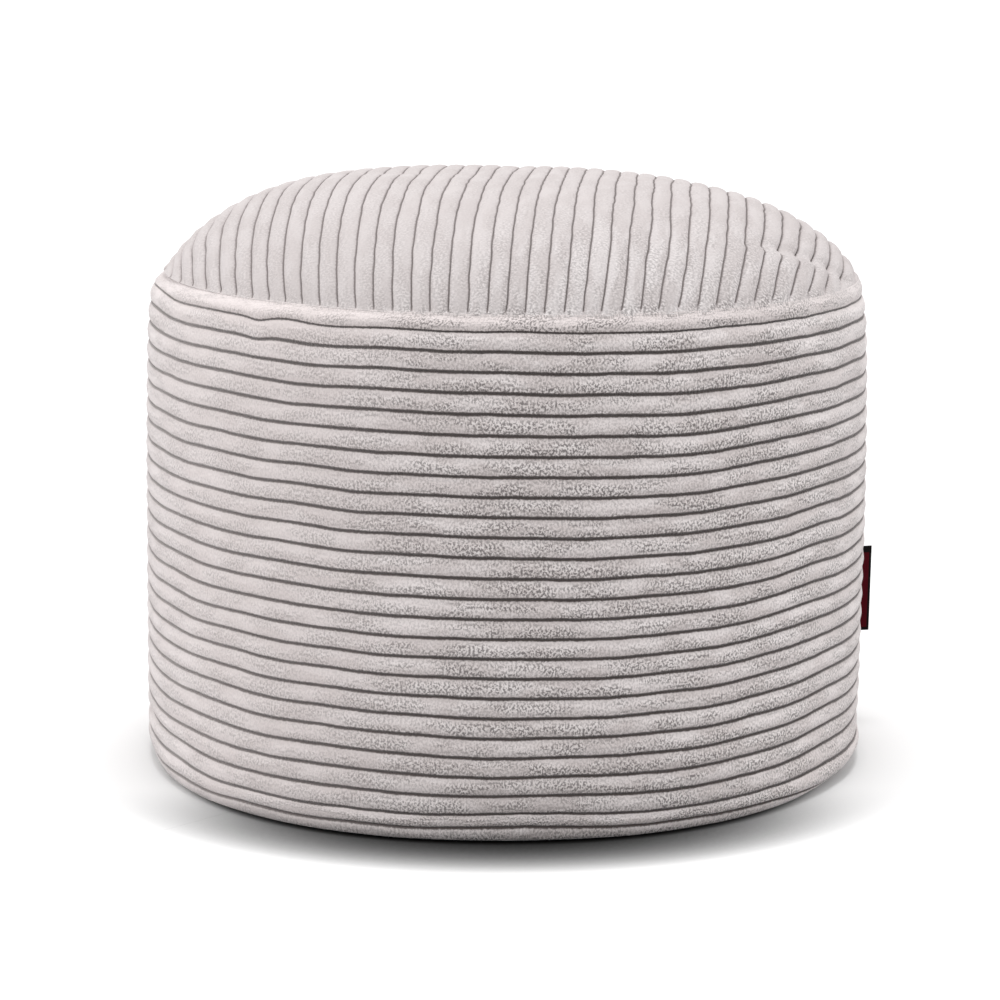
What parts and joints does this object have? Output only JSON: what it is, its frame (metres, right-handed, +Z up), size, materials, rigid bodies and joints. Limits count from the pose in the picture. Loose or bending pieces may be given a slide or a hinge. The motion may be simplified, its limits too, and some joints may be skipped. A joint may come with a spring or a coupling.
{
  "type": "bean bag footstool",
  "caption": "Round drum-shaped bean bag footstool in wide-wale corduroy, with a crowned top panel, a side band, a bottom panel and a folded side label.",
  "frame": {"origin": "middle of the base, on the floor", "axes": "+Z up, -Y the front, +X to the right as seen from the front"},
  "size_m": [0.5157, 0.5, 0.3983],
  "materials": {
    "top_corduroy": "matt wide-wale corduroy with a short soft pile, wales running front to back",
    "band_corduroy": "matt wide-wale corduroy with a short soft pile, wales running round the bag",
    "base_cloth": "plain matt woven cloth",
    "label_weave": "fine woven ribbon, black with a plain dark red stripe"
  },
  "bodies": {
    "root": {"top_panel": "top_corduroy", "side_band": "band_corduroy", "bottom_panel": "base_cloth", "label": "label_weave"}
  },
  "joints": []
}
